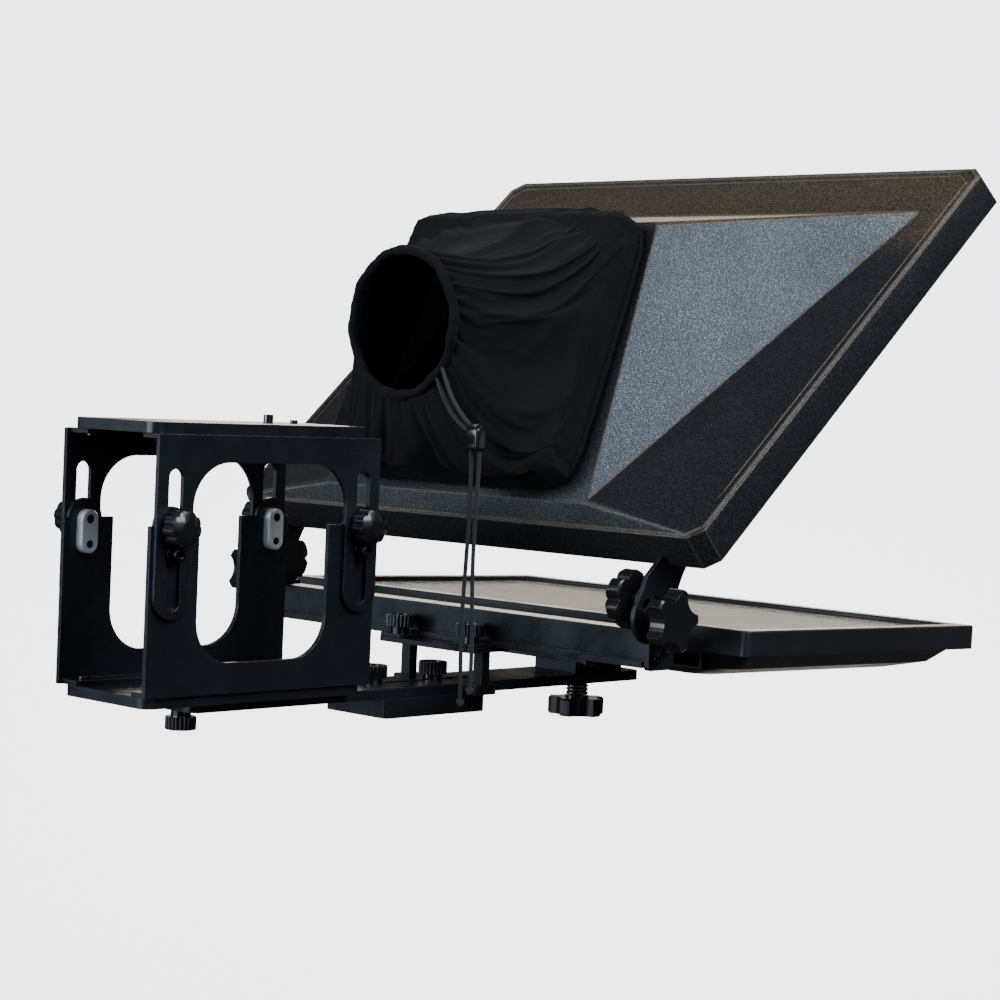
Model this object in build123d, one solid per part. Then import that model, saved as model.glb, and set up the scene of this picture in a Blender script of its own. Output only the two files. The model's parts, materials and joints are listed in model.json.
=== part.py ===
from build123d import *
import math
import os

# Teleprompter: sled rail, height-adjustable camera riser, flat-panel monitor on a
# cross channel, tilting hood with beam-splitter glass, and cloth shroud.
# Millimetres.  +Z up, +Y towards the talent (front), +X the operator's right.
# Origin: centre of the bottom face of the tripod block.

# ---- driving dimensions ----
SIDES = {"left": -1, "right": 1}                  # sign of X
HAIR, GAP = 0.02, 0.05                            # clearances between touching parts

BLOCK_L, BLOCK_W, BLOCK_H = 95.0, 60.0, 13.0      # tripod block along Y, X, Z
BLOCK_YC = -3.5
RAIL_W, RAIL_T = 54.0, 7.0
RAIL_Y0, RAIL_Y1 = -214.0, 212.0
RAIL_TOP = BLOCK_H + RAIL_T
RAIL_SCREW_Y = {"rear": -36.0, "front": 21.0}     # screws into the tripod block

RISER_Y0, RISER_Y1 = -263.0, -84.0                # riser plates
RISER_W, RISER_T = 84.0, 7.0
RISER_TOP = 195.0                                 # camera face
LOW_PLATE_TOP = RAIL_TOP + RISER_T
TOP_PLATE_Z = RISER_TOP - RISER_T                 # underside of the top plate
SHEET = 3.0                                       # bracket sheet
IN_X = 42.0                                       # inner face of the lower brackets
LEG_Y = {"rear": -250.0, "front": -96.0}          # bracket leg centre lines
KNOB_Z, PIN_Z = 131.0, 115.0                      # clamp stud and guide pin in each leg

POST_X, POST_Y = 36.0, 32.5                       # support bracket posts on the rail
SUPPORT_Z0, SUPPORT_Z1 = 43.0, 46.4               # support bracket sheet
CHAN_Y0, CHAN_D, CHAN_Z0, CHAN_Z1, CHAN_X = 35.0, 17.5, 46.6, 71.0, 182.0
CHAN_SCREW_X, CHAN_SCREW_Y = 35.0, 21.0           # channel to support bracket

MON_X, MON_Y0, MON_Y1, MON_TOP = 225.0, 86.0, 350.0, 72.8
BEZEL_T = 17.0
COVER_D = 18.5                                    # rear cover bulge
MON_SAG = -1.2                                    # nose-down set, degrees
MOUNT_Y = 171.0                                   # mounting bolt on the rail

PIV_Y, PIV_Z = 30.0, 80.0                         # hood pivot axis, parallel to X
LOCK_Z = 91.0                                     # tilt lock screw, same Y
EAR_X, EAR_T = 183.0, 4.0                         # end ear inner face, thickness
HOOD_BRACKET_X = EAR_X + EAR_T + 0.1              # inner face of the hood brackets

TILT = 41.7                                       # slant of the glass plane, degrees
RIM_L, RIM_D = 397.0, 25.0                        # rim slant length, wall depth
RIM_X0, RIM_X1 = 229.0, 235.0                     # rim half width, bottom and top
RIM_Y, RIM_Z = 45.0, 114.0                        # bottom edge of the rim's front face
WALL = 3.5                                        # hood wall
OPEN_R = 47.0                                     # lens opening of the shroud


# ---- shared shapes ----
def box(x0, x1, y0, y1, z0, z1):
    return Pos((x0 + x1) / 2, (y0 + y1) / 2, (z0 + z1) / 2) * Box(x1 - x0, y1 - y0, z1 - z0)


def rod(radius, length, x=0, y=0, z=0):
    """Cylinder standing on (x, y, z)."""
    align = (Align.CENTER, Align.CENTER, Align.MIN)
    return Pos(x, y, z) * Cylinder(radius, length, align=align)


def rounded_plate(x0, x1, y0, y1, z0, z1, corner):
    outline = Pos((x0 + x1) / 2, (y0 + y1) / 2) * RectangleRounded(x1 - x0, y1 - y0, corner)
    return Pos(0, 0, z0) * extrude(outline, z1 - z0)


def slot_outline(x, middle, length, width):
    """Round-ended slot along the sketch's second axis."""
    return Pos(x, middle) * Rot(0, 0, 90) * SlotOverall(length, width)


def centre_slot(y0, y1, width, z0, z1):
    """Slot cutter along Y on the centre plane."""
    return Pos(0, 0, z0) * extrude(slot_outline(0, (y0 + y1) / 2, y1 - y0, width), z1 - z0)


def span(sign, near, far):
    """X range between two distances from the centre, on one side."""
    return sorted((sign * near, sign * far))


def extrude_x(sketch, x0, x1):
    """Sketch drawn as (Y, Z), extruded from x0 to x1."""
    plane = Plane(origin=(x0, 0, 0), x_dir=(0, 1, 0), z_dir=(1, 0, 0))
    return extrude(plane * sketch, x1 - x0)


def along_x(shape, x, y, z, sign):
    """Lay a shape built along +Z along sign * X at a point."""
    return Pos(x, y, z) * Rot(0, 90 * sign, 0) * shape


def around(count, radius, phase=0.0):
    """Points evenly spaced on a circle; phase in steps."""
    angles = [2 * math.pi * (i + phase) / count for i in range(count)]
    return [(radius * math.cos(a), radius * math.sin(a)) for a in angles]


def lobed(radius, root_radius, count, overlap, height):
    """Knob body: a ring of round lobes on a core."""
    outline = Circle(root_radius)
    lobe = (radius - root_radius) + overlap
    for x, y in around(count, radius - lobe):
        outline = outline + Pos(x, y) * Circle(lobe)
    return extrude(outline, height)


def fluted(radius, count, flute, height):
    """Knurled disc: small round flutes cut in its edge."""
    outline = Circle(radius)
    for x, y in around(count, radius + flute * 0.45):
        outline = outline - Pos(x, y) * Circle(flute)
    return extrude(outline, height)


def star(radius, count, scoop, scoop_centre, height):
    """Star knob body: a disc with deep concave flanks."""
    outline = Circle(radius)
    for x, y in around(count, scoop_centre, 0.5):
        outline = outline - Pos(x, y) * Circle(scoop)
    return extrude(outline, height)


def eased(body, radius, height, ease):
    """Break both end rims of a knob body."""
    return body & chamfer(rod(radius, height).edges().filter_by(GeomType.CIRCLE), ease)


def thumb_screw(x, y, z, neck, head, shank, up=True):
    """Knurled thumb screw with its bearing face at (x, y, z)."""
    head_r, neck_r, shank_r = 10.0, 6.5, 2.95
    knurled_head = eased(fluted(head_r, 24, 1.3, head), head_r, head, 0.5)
    body = rod(neck_r, neck)
    body += Pos(0, 0, neck) * knurled_head
    body -= rod(head_r - 3.2, 1.0, z=neck + head - 0.8)
    body += rod(shank_r, shank, z=-shank)
    if not up:
        body = Rot(180, 0, 0) * body
    return Pos(x, y, z) * body


def ring_shell(outer, inner, flipped=()):
    """Solid of triangles between matching outer and inner point rings.
    flipped lists the (ring, side) quads that take the other diagonal."""
    sides, rings = len(outer[0]), len(outer)
    points = [p for ring in outer + inner for p in ring]
    inside = rings * sides
    last = (rings - 1) * sides
    triangles = []

    def quad(a, b, c, d, flip=False):
        if flip:
            triangles.extend([(a, b, d), (b, c, d)])
        else:
            triangles.extend([(a, b, c), (a, c, d)])

    for k in range(rings - 1):
        here, above = k * sides, (k + 1) * sides
        for j in range(sides):
            j2 = (j + 1) % sides
            flip = (k, j) in flipped
            quad(here + j, here + j2, above + j2, above + j, flip)
            quad(inside + here + j, inside + above + j,
                 inside + above + j2, inside + here + j2, flip)
    for j in range(sides):
        j2 = (j + 1) % sides
        quad(j, inside + j, inside + j2, j2)
        quad(last + j, last + j2, inside + last + j2, inside + last + j)
    faces = []
    for triangle in triangles:
        corners = [Vector(*points[i]) for i in triangle]
        faces.append(Face(Wire.make_polygon(corners, close=True)))
    return Solid(Shell(faces))


# ---- tripod block and sled rail ----
CLAMP_Y = -201.0                                  # riser clamp screw
GUIDE_Y = -121.0                                  # riser guide pin


def tripod_block():
    y0, y1 = BLOCK_YC - BLOCK_L / 2, BLOCK_YC + BLOCK_L / 2
    body = box(-BLOCK_W / 2, BLOCK_W / 2, y0, y1, 0, BLOCK_H)
    block = chamfer(body.edges().filter_by(Axis.Z), 2.0)
    block -= rod(4.77, 10.1, z=-0.1)              # 3/8 in thread, mouth down
    block -= rod(3.18, 10.1, y=-14.0, z=-0.1)     # 1/4 in thread, mouth down
    for y in RAIL_SCREW_Y.values():
        block -= rod(3.0, BLOCK_H, y=y, z=1.5)
    return block


def main_rail():
    z0, z1, cut = BLOCK_H - 1, RAIL_TOP + 1, RAIL_T + 2
    rail = rounded_plate(-RAIL_W / 2, RAIL_W / 2, RAIL_Y0, RAIL_Y1, BLOCK_H, RAIL_TOP, 9.0)
    rail += rounded_plate(-42.0, 42.0, 22.0, 43.0, BLOCK_H, RAIL_TOP, 3.0)
    rail -= centre_slot(-60.0, 65.0, 6.6, z0, z1)
    rail -= rod(3.0, cut, y=CLAMP_Y, z=z0)
    rail -= centre_slot(-150.0, -92.0, 8.2, z0, z1)
    rail -= rod(4.0, cut, y=MOUNT_Y, z=z0)
    for sign in SIDES.values():
        rail -= rod(2.2, cut, sign * POST_X, POST_Y, z0)
        rail -= rod(4.0, 3.4, sign * POST_X, POST_Y, BLOCK_H - 0.1)
    return chamfer(rail.faces().sort_by(Axis.Z)[-1].outer_wire().edges(), 0.5)


def rail_screw(y):
    return thumb_screw(0, y, RAIL_TOP + GAP, neck=4.0, head=8.8, shank=17.0)


# ---- camera riser: the lower half slides on the rail, the upper half up and down ----
BRACKET_SCREW_X = 35.0
BRACKET_SCREW_Y = (-252.0, -175.0, -95.0)
FLANGE_X = 28.0                                   # inner edge of the bracket flanges
LOW_TOP = 132.0                                   # top of the lower bracket sheet
WINDOW_Y0, WINDOW_Y1 = -228.0, -122.0             # lower bracket opening
UP_Y0, UP_Y1 = -264.0, -82.0                      # upper bracket
LEG_R, LEG_END_Z = 14.0, 89.0                     # round leg ends
ARCH_Z, ARCH_R = 171.0, 28.0                      # top and corners of the upper arch
SLOT_Z0, SLOT_Z1, SLOT_W = 80.0, 167.0, 11.0      # height slots
UP_X = IN_X + SHEET + GAP                         # inner face of the upper brackets
CAM_SCREW_Y, CAM_PIN_Y = -138.0, -116.0
STRIP_T = 4.0


def riser_bottom_plate():
    half, z0 = RISER_W / 2, RAIL_TOP - 1
    plate = rounded_plate(-half, half, RISER_Y0, RISER_Y1, RAIL_TOP + HAIR, LOW_PLATE_TOP, 8.0)
    plate -= centre_slot(-232.0, -164.0, 6.6, z0, LOW_PLATE_TOP + 1)
    plate -= centre_slot(-232.0, -164.0, 12.4, RAIL_TOP + 3.5, LOW_PLATE_TOP + 1)
    for sign in SIDES.values():
        for y in BRACKET_SCREW_Y:
            plate -= rod(1.9, RISER_T + 2, sign * BRACKET_SCREW_X, y, z0)
    plate -= rod(3.5, RISER_T + 2, y=GUIDE_Y, z=z0)
    return plate


def riser_guide_pin():
    """Keeps the lower plate square in the rail's slot."""
    return rod(3.45, RISER_T * 2 - 1.5, y=GUIDE_Y, z=BLOCK_H + 1.0)


def riser_clamp_screw():
    return thumb_screw(0, CLAMP_Y, BLOCK_H - GAP, neck=5.0, head=8.5, shank=11.2, up=False)


def riser_clamp_nut():
    """T nut in the plate's stepped slot."""
    nut = box(-6.1, 6.1, CLAMP_Y - 6.0, CLAMP_Y + 6.0, RAIL_TOP + 3.6, LOW_PLATE_TOP - 0.3)
    nut -= rod(3.0, 8.0, y=CLAMP_Y, z=RAIL_TOP)
    return nut


def riser_top_plate():
    half = RISER_W / 2 - 0.5
    plate = rounded_plate(-half, half, RISER_Y0, RISER_Y1, TOP_PLATE_Z, RISER_TOP, 8.0)
    plate -= centre_slot(-200.0, -92.0, 6.6, TOP_PLATE_Z - 1, RISER_TOP + 1)
    for sign in SIDES.values():
        for y in BRACKET_SCREW_Y:
            plate -= rod(1.9, 5.0, sign * BRACKET_SCREW_X, y, TOP_PLATE_Z - 1)
    return plate


def lower_bracket(sign):
    y0, y1 = RISER_Y0 - 3.0, RISER_Y1 + 3.0
    middle, width = (WINDOW_Y0 + WINDOW_Y1) / 2, WINDOW_Y1 - WINDOW_Y0
    window_z0, window_z1 = 46.5, 190.0
    profile = Pos((y0 + y1) / 2, (LOW_PLATE_TOP + LOW_TOP) / 2) * Rectangle(
        y1 - y0, LOW_TOP - LOW_PLATE_TOP)
    window = Pos(middle, (window_z0 + window_z1) / 2) * RectangleRounded(
        width, window_z1 - window_z0, 27.0)
    window += Pos(middle, 140.0) * Rectangle(width, 60.0)
    profile -= window
    for y in LEG_Y.values():
        profile += Pos(y, KNOB_Z) * Circle(13.0)
    for y in LEG_Y.values():
        profile -= Pos(y, KNOB_Z) * Circle(3.05)
        profile -= Pos(y, PIN_Z) * Circle(2.6)
    bracket = extrude_x(profile, *span(sign, IN_X, IN_X + SHEET))
    bracket += box(*span(sign, FLANGE_X, IN_X + SHEET), y0 + 3.0, y1 - 3.0,
                   LOW_PLATE_TOP + HAIR, LOW_PLATE_TOP + SHEET)
    for y in BRACKET_SCREW_Y:
        bracket -= rod(2.1, 5.0, sign * BRACKET_SCREW_X, y, LOW_PLATE_TOP - 1)
    return bracket


def upper_profile():
    """Arch with round-ended slotted legs, as (Y, Z)."""
    in0, in1 = UP_Y0 + 2 * LEG_R, UP_Y1 - 2 * LEG_R
    spring = ARCH_Z - ARCH_R                      # where the arch corners start
    diagonal = ARCH_R * math.sqrt(0.5)
    profile = make_face([
        Line((UP_Y0, LEG_END_Z), (UP_Y0, TOP_PLATE_Z)),
        Line((UP_Y0, TOP_PLATE_Z), (UP_Y1, TOP_PLATE_Z)),
        Line((UP_Y1, TOP_PLATE_Z), (UP_Y1, LEG_END_Z)),
        ThreePointArc((UP_Y1, LEG_END_Z), (UP_Y1 - LEG_R, LEG_END_Z - LEG_R), (in1, LEG_END_Z)),
        Line((in1, LEG_END_Z), (in1, spring)),
        ThreePointArc((in1, spring), (in1 - ARCH_R + diagonal, spring + diagonal),
                      (in1 - ARCH_R, ARCH_Z)),
        Line((in1 - ARCH_R, ARCH_Z), (in0 + ARCH_R, ARCH_Z)),
        ThreePointArc((in0 + ARCH_R, ARCH_Z), (in0 + ARCH_R - diagonal, spring + diagonal),
                      (in0, spring)),
        Line((in0, spring), (in0, LEG_END_Z)),
        ThreePointArc((in0, LEG_END_Z), (UP_Y0 + LEG_R, LEG_END_Z - LEG_R), (UP_Y0, LEG_END_Z)),
    ])
    for y in LEG_Y.values():
        profile -= slot_outline(y, (SLOT_Z0 + SLOT_Z1) / 2, SLOT_Z1 - SLOT_Z0, SLOT_W)
    return profile


def upper_bracket(sign):
    bracket = extrude_x(upper_profile(), *span(sign, UP_X, UP_X + SHEET))
    bracket += box(*span(sign, FLANGE_X, UP_X + SHEET), UP_Y0 + 3.0, UP_Y1 - 3.0,
                   TOP_PLATE_Z - SHEET, TOP_PLATE_Z - HAIR)
    for y in BRACKET_SCREW_Y:
        bracket -= rod(2.1, 5.0, sign * BRACKET_SCREW_X, y, TOP_PLATE_Z - SHEET - 1)
    return bracket


def bracket_screws(seat_z, shank, flip):
    """Six button-head screws; flip puts the heads below the seat."""
    screws = []
    for sign in SIDES.values():
        for y in BRACKET_SCREW_Y:
            screw = fillet(rod(3.8, 2.4).faces().sort_by(Axis.Z)[-1].edges(), 1.2)
            screw -= rod(1.25, 2.0, z=1.18)
            screw += rod(1.85, shank + 0.08, z=-shank)
            screws.append(Pos(sign * BRACKET_SCREW_X, y, seat_z) * Rot(flip, 0, 0) * screw)
    return Compound(children=screws)


def at_each_leg(make):
    return Compound(children=[make(sign, y) for sign in SIDES.values() for y in LEG_Y.values()])


def nut_plate(sign, y):
    """Inside the lower bracket, behind stud and cap screw."""
    outline = slot_outline(y, (KNOB_Z + PIN_Z) / 2, 28.0, 13.0)
    outline -= Pos(y, KNOB_Z) * Circle(3.0)
    outline -= Pos(y, PIN_Z) * Circle(2.5)
    plate = extrude_x(outline, *span(sign, IN_X - 6.0, IN_X - GAP))
    inner_face = plate.faces().sort_by(Axis.X)[0 if sign > 0 else -1]
    return chamfer(inner_face.outer_wire().edges(), 0.8)


BUSH_L, BUSH_FLANGE = SHEET + 0.1, 1.8


def bushing(sign, y):
    place = (sign * UP_X, y, PIN_Z, sign)
    bush = along_x(rod(5.0, BUSH_L) + rod(6.4, BUSH_FLANGE, z=BUSH_L), *place)
    bush -= along_x(Cylinder(2.6, 12), *place)
    return bush


def cap_screw(sign, y):
    seat_x = UP_X + BUSH_L + BUSH_FLANGE + GAP
    shank = seat_x - IN_X + 5.9
    screw = chamfer(rod(4.4, 5.2).faces().sort_by(Axis.Z)[-1].edges(), 0.5)
    screw -= Pos(0, 0, 2.6) * extrude(RegularPolygon(2.2, 6), 3.0)
    screw += rod(2.45, shank, z=-shank)
    return along_x(screw, sign * seat_x, y, PIN_Z, sign)


def riser_knob(sign, y):
    """Domed knob with nine round lobes, on its stud."""
    seat_x = IN_X + 2 * SHEET + 0.15
    knob = lobed(11.5, 8.6, 9, 0.9, 12.5)
    knob = knob & (Pos(0, 0, -7.5) * Sphere(20.6))
    knob = Pos(0, 0, 2.0) * knob + rod(7.6, 2.0)
    knob += rod(2.95, seat_x - IN_X + 5.7, z=-(seat_x - IN_X + 5.6))
    return along_x(knob, sign * seat_x, y, KNOB_Z, sign)


def camera_slide_strip():
    z1 = TOP_PLATE_Z - GAP
    strip = rounded_plate(-14.0, 14.0, -176.0, -102.0, z1 - STRIP_T, z1, 3.0)
    for y, radius in ((CAM_SCREW_Y, 3.1), (CAM_PIN_Y, 2.6)):
        strip -= rod(radius, 8.0, y=y, z=TOP_PLATE_Z - 6)
    return strip


def camera_fixing(y, head, shank_r, shank_l):
    """Knurled head hanging below the strip, with its shank upwards."""
    head_z = TOP_PLATE_Z - STRIP_T - 0.1
    return Pos(0, y, head_z) * (Rot(180, 0, 0) * head) + rod(shank_r, shank_l, y=y, z=head_z - 0.1)


def camera_screw():
    screw = camera_fixing(CAM_SCREW_Y, fluted(9.0, 20, 1.2, 7.0), 3.0, 11.4)
    screw += rod(3.175, 5.5, y=CAM_SCREW_Y, z=RISER_TOP + 0.1)   # 1/4 in thread, free end
    return screw


def camera_locating_pin():
    return camera_fixing(CAM_PIN_Y, fluted(7.5, 18, 1.1, 6.0), 2.55, 13.7)


# ---- support bracket, cross channel, end ears ----
CHAN_WALL = 2.5
EAR_SCREWS = ((49.0, 58.0), (40.0, 52.5))         # (Y, Z)


def support_bracket():
    bracket = rounded_plate(-46.0, 46.0, 11.0, 50.0, SUPPORT_Z0, SUPPORT_Z1, 3.0)
    for sign in SIDES.values():
        x = sign * POST_X
        post = box(x - 4.5, x + 4.5, POST_Y - 4.0, POST_Y + 4.0, RAIL_TOP + HAIR, SUPPORT_Z0 + 0.5)
        bracket += chamfer(post.edges().filter_by(Axis.Z), 0.6)
        bracket -= rod(1.8, 12.0, x, POST_Y, RAIL_TOP - 1)
        bracket -= rod(3.0, 6.0, sign * CHAN_SCREW_X, CHAN_SCREW_Y, SUPPORT_Z0 - 1)
    return bracket


def support_screws():
    """Up through the rail into the posts."""
    screws = []
    for sign in SIDES.values():
        x = sign * POST_X
        screw = rod(3.7, 2.8, x, POST_Y, BLOCK_H + 0.3) + rod(1.75, 14.0, x, POST_Y, BLOCK_H + 3.0)
        screw -= rod(1.5, 3.0, x, POST_Y, BLOCK_H - 1.0)
        screws.append(screw)
    return Compound(children=screws)


def cross_channel():
    """Channel open to the front, with a grooved lip and two tabs at the rear."""
    end = CHAN_X + 1
    chan = box(-CHAN_X, CHAN_X, CHAN_Y0, CHAN_Y0 + CHAN_D, CHAN_Z0, CHAN_Z1)
    chan -= box(-end, end, CHAN_Y0 + CHAN_WALL, CHAN_Y0 + CHAN_D + 1,
                CHAN_Z0 + CHAN_WALL, CHAN_Z1 - CHAN_WALL)
    chan = fillet(chan.edges().filter_by(Axis.X).sort_by(Axis.Y)[:2], 1.2)
    chan += box(-CHAN_X, CHAN_X, CHAN_Y0 - 3.5, CHAN_Y0 + 0.5, CHAN_Z0, CHAN_Z0 + 4.0)
    chan -= box(-end, end, CHAN_Y0 - 1.0, CHAN_Y0 + 0.9, CHAN_Z0 + 4.0, CHAN_Z0 + 5.6)
    for sign in SIDES.values():
        x = sign * CHAN_SCREW_X
        chan += rounded_plate(x - 11.0, x + 11.0, 11.5, CHAN_Y0 + 1.0,
                              CHAN_Z0, CHAN_Z0 + CHAN_WALL, 3.0)
        chan -= rod(3.1, 5.0, x, CHAN_SCREW_Y, CHAN_Z0 - 1)
    return chan


def channel_screw(sign):
    return thumb_screw(sign * CHAN_SCREW_X, CHAN_SCREW_Y, CHAN_Z0 + CHAN_WALL + GAP,
                       neck=4.5, head=8.6, shank=5.9)


def end_ear(sign):
    """Plate on the channel end that carries pivot and lock screw."""
    y0, y1, z0, z1 = 33.0, 57.0, 45.0, 73.5
    hull_parts = (Pos(PIV_Y, PIV_Z) * Circle(9.5), Pos(PIV_Y, LOCK_Z) * Circle(9.0),
                  Pos(43.0, 68.0) * Rectangle(18.0, 8.0))
    ear = Pos((y0 + y1) / 2, (z0 + z1) / 2) * RectangleRounded(y1 - y0, z1 - z0, 2.5)
    ear += make_hull([edge for part in hull_parts for edge in part.edges()])
    ear -= Pos(PIV_Y, PIV_Z) * Circle(3.0)
    ear -= Pos(PIV_Y, LOCK_Z) * Circle(2.5)
    for y, z in EAR_SCREWS:
        ear -= Pos(y, z) * Circle(2.1)
    return extrude_x(ear, *span(sign, EAR_X, EAR_X + EAR_T))


def channel_end_blocks():
    inset = CHAN_WALL + HAIR
    blocks = []
    for sign in SIDES.values():
        block = box(*span(sign, CHAN_X - 8.0, EAR_X - HAIR), CHAN_Y0 + inset,
                    CHAN_Y0 + CHAN_D - 0.5, CHAN_Z0 + inset, CHAN_Z1 - inset)
        for y, z in EAR_SCREWS:
            block -= along_x(rod(1.9, 12.0), sign * (CHAN_X - 9.0), y, z, sign)
        blocks.append(block)
    return Compound(children=blocks)


def end_ear_screws():
    screws = []
    for sign in SIDES.values():
        for y, z in EAR_SCREWS:
            screw = rod(3.4, 1.9) - rod(1.3, 2.0, z=0.9) + rod(1.85, 9.0, z=-9.0)
            screws.append(along_x(screw, sign * (EAR_X + EAR_T + HAIR), y, z, sign))
    return Compound(children=screws)


# ---- monitor and mounting plate, built level and then leaned by MON_SAG ----
LEAN = Pos(0, MON_Y0, MON_TOP) * Rot(MON_SAG, 0, 0) * Pos(0, -MON_Y0, -MON_TOP)
BEZEL_Z0 = MON_TOP - BEZEL_T
COVER_Z0, COVER_Z1 = BEZEL_Z0 - COVER_D, BEZEL_Z0 - 0.1
MOUNT_TOP, MOUNT_T = COVER_Z0 - GAP, 4.0          # mounting plate
MOUNT_YC = 176.0                                  # centre of the plate's screw square
MOUNT_HOLES = [(sx * 50.0, MOUNT_YC + sy * 50.0) for sx in (-1, 1) for sy in (-1, 1)]
INLET_X0, INLET_X1 = 152.0, 179.0
INLET_Z0, INLET_Z1 = BEZEL_Z0 - 13.5, BEZEL_Z0 - 0.9
# each board: slab then components; x0, x1, y0, y1, and z0, z1 from the bezel's underside
BOARDS = (
    ((60, 140, 122, 302, -6.0, -4.4), (80, 118, 150, 176, -4.5, 3.6),
     (72, 90, 200, 240, -4.5, 2.0)),
    ((-150, -20, 140, 270, -6.0, -4.4), (-110, -80, 180, 210, -4.5, 1.0),
     (-60, -40, 225, 255, -4.5, 0.0)),
)


def monitor_slab(inset, z0, z1, corner):
    """Monitor outline drawn in by inset."""
    half = MON_X - inset
    return rounded_plate(-half, half, MON_Y0 + inset, MON_Y1 - inset, z0, z1, corner)


def monitor_bezel():
    bezel = monitor_slab(0, BEZEL_Z0, MON_TOP, 5.0)
    bezel -= monitor_slab(14.0, MON_TOP - 3.2, MON_TOP + 1, 1.5)
    bezel -= monitor_slab(3.0, BEZEL_Z0 - 1, MON_TOP - 3.0, 3.0)
    return LEAN * chamfer(bezel.faces().sort_by(Axis.Z)[-1].edges(), 0.9)


def lcd_panel():
    return LEAN * monitor_slab(8.0, MON_TOP - 11.0, MON_TOP - 3.3, 1.0)


def cover_bulge(wall, overrun):
    """Tapered cover volume, drawn in by wall and raised past its rim by overrun."""
    # (inset in X, total inset in Y, shift in Y, Z, corner)
    stations = ((58, 44, 4, COVER_Z0 + wall, 14), (26, 30, 2, COVER_Z0 + 7.0 + wall, 12),
                (10, 20, 0, COVER_Z1 + overrun, 10))
    return loft([
        Pos(0, (MON_Y0 + MON_Y1) / 2 + shift, z) * RectangleRounded(
            2 * (MON_X - inset_x - wall), (MON_Y1 - MON_Y0) - inset_y - 2 * wall, corner)
        for inset_x, inset_y, shift, z, corner in stations], ruled=True)


def monitor_back_cover():
    """Shallow shell open towards the bezel."""
    cover = cover_bulge(0, 0) - cover_bulge(2.6, 1)
    cover -= box(INLET_X0, INLET_X1, MON_Y0, MON_Y0 + 44, INLET_Z0, INLET_Z1)
    for x, y in MOUNT_HOLES:
        cover -= rod(2.1, 5.0, x, y, COVER_Z0 - 1)
    return LEAN * cover


def power_inlet():
    x, z = (INLET_X0 + INLET_X1) / 2, (INLET_Z0 + INLET_Z1) / 2
    body = box(INLET_X0 + 0.1, INLET_X1 - 0.1, MON_Y0 + 11.0, MON_Y0 + 38.0,
               INLET_Z0 + 0.1, INLET_Z1 - 0.1)
    body -= Pos(x, MON_Y0 + 11.0 + 7.9, z) * Box(22.0, 16.0, 9.0)
    pieces = [body]
    for dx, dz in ((-6.0, -0.6), (0.0, 1.2), (6.0, -0.6)):       # pins
        pieces.append(box(x + dx - 0.8, x + dx + 0.8, MON_Y0 + 14.0, MON_Y0 + 26.8,
                          z - 1.0 + dz, z + 1.0 + dz))
    return Compound(children=[LEAN * piece for piece in pieces])


def circuit_boards():
    boards = []
    for slab, *components in BOARDS:
        board = box(*slab[:4], BEZEL_Z0 + slab[4], BEZEL_Z0 + slab[5])
        for *outline, z0, z1 in components:
            board += box(*outline, BEZEL_Z0 + z0, BEZEL_Z0 + z1)
        boards.append(LEAN * board)
    return Compound(children=boards)


def monitor_mount_plate():
    plate = rounded_plate(-62.0, 62.0, MOUNT_YC - 62.0, MOUNT_YC + 62.0,
                          MOUNT_TOP - MOUNT_T, MOUNT_TOP, 6.0)
    plate -= rod(12.2, 3.0, y=MOUNT_Y, z=MOUNT_TOP - 1.8)
    for x, y in MOUNT_HOLES:
        plate -= rod(2.15, 8.0, x, y, MOUNT_TOP - 6)
    # the bolt hole stays upright through the leaning plate
    return LEAN * plate - rod(4.1, 24.0, y=MOUNT_Y, z=MOUNT_TOP - 12)


def mount_screws():
    head_h, head_top = 2.5, MOUNT_TOP - MOUNT_T - GAP
    screws = []
    for x, y in MOUNT_HOLES:
        head = rod(4.0, head_h, x, y, head_top - head_h)
        screw = fillet(head.faces().sort_by(Axis.Z)[0].edges(), 1.2)
        screw += rod(2.0, 8.5, x, y, head_top - GAP)
        screws.append(LEAN * screw)
    return Compound(children=screws)


def mount_spacer():
    """Block between rail and mounting plate; its top follows the plate."""
    block = box(-22.0, 22.0, 146.0, 196.0, RAIL_TOP + HAIR, 60.0)
    below_plate = LEAN * box(-400, 400, -100, 500, -200, MOUNT_TOP - MOUNT_T - GAP)
    block = block & below_plate
    block = chamfer(block.edges().filter_by(Axis.Z), 2.0)
    block -= rod(4.05, 40.0, y=MOUNT_Y, z=RAIL_TOP - 1)
    return block


def mount_star_knob():
    """Star knob below the rail, on its bolt."""
    z, height, bolt_top = -13.5, 13.0, 34.0
    knob = Pos(0, MOUNT_Y, z) * eased(star(21.0, 5, 11.0, 25.6, height), 21.0, height, 1.2)
    knob += rod(8.8, 2.4, y=MOUNT_Y, z=z + 12.0)
    knob += rod(3.9, bolt_top - z - height, y=MOUNT_Y, z=z + height)
    return knob


def mount_knob_spring():
    """Stack of rings standing for the spring's coils."""
    pitch = 2.6
    return Compound(children=[Pos(0, MOUNT_Y, pitch * (k + 1)) * Torus(7.0, 1.1)
                              for k in range(4)])


# ---- hood frame of reference ----
COS_TILT, SIN_TILT = math.cos(math.radians(TILT)), math.sin(math.radians(TILT))


def hood_point(x, s, n):
    """x across, s up the slant from the rim's bottom edge, n behind the glass plane."""
    return (x, RIM_Y + COS_TILT * s - SIN_TILT * n, RIM_Z + SIN_TILT * s + COS_TILT * n)


def hood_plane(x, s, n):
    return Plane(origin=hood_point(x, s, n), x_dir=(1, 0, 0), z_dir=(0, -SIN_TILT, COS_TILT))


def hood_box(x0, x1, s0, s1, n0, n1):
    place = hood_plane((x0 + x1) / 2, (s0 + s1) / 2, (n0 + n1) / 2).location
    return place * Box(x1 - x0, s1 - s0, n1 - n0)


def rim_half(s):
    return RIM_X0 + (RIM_X1 - RIM_X0) * s / RIM_L


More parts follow.
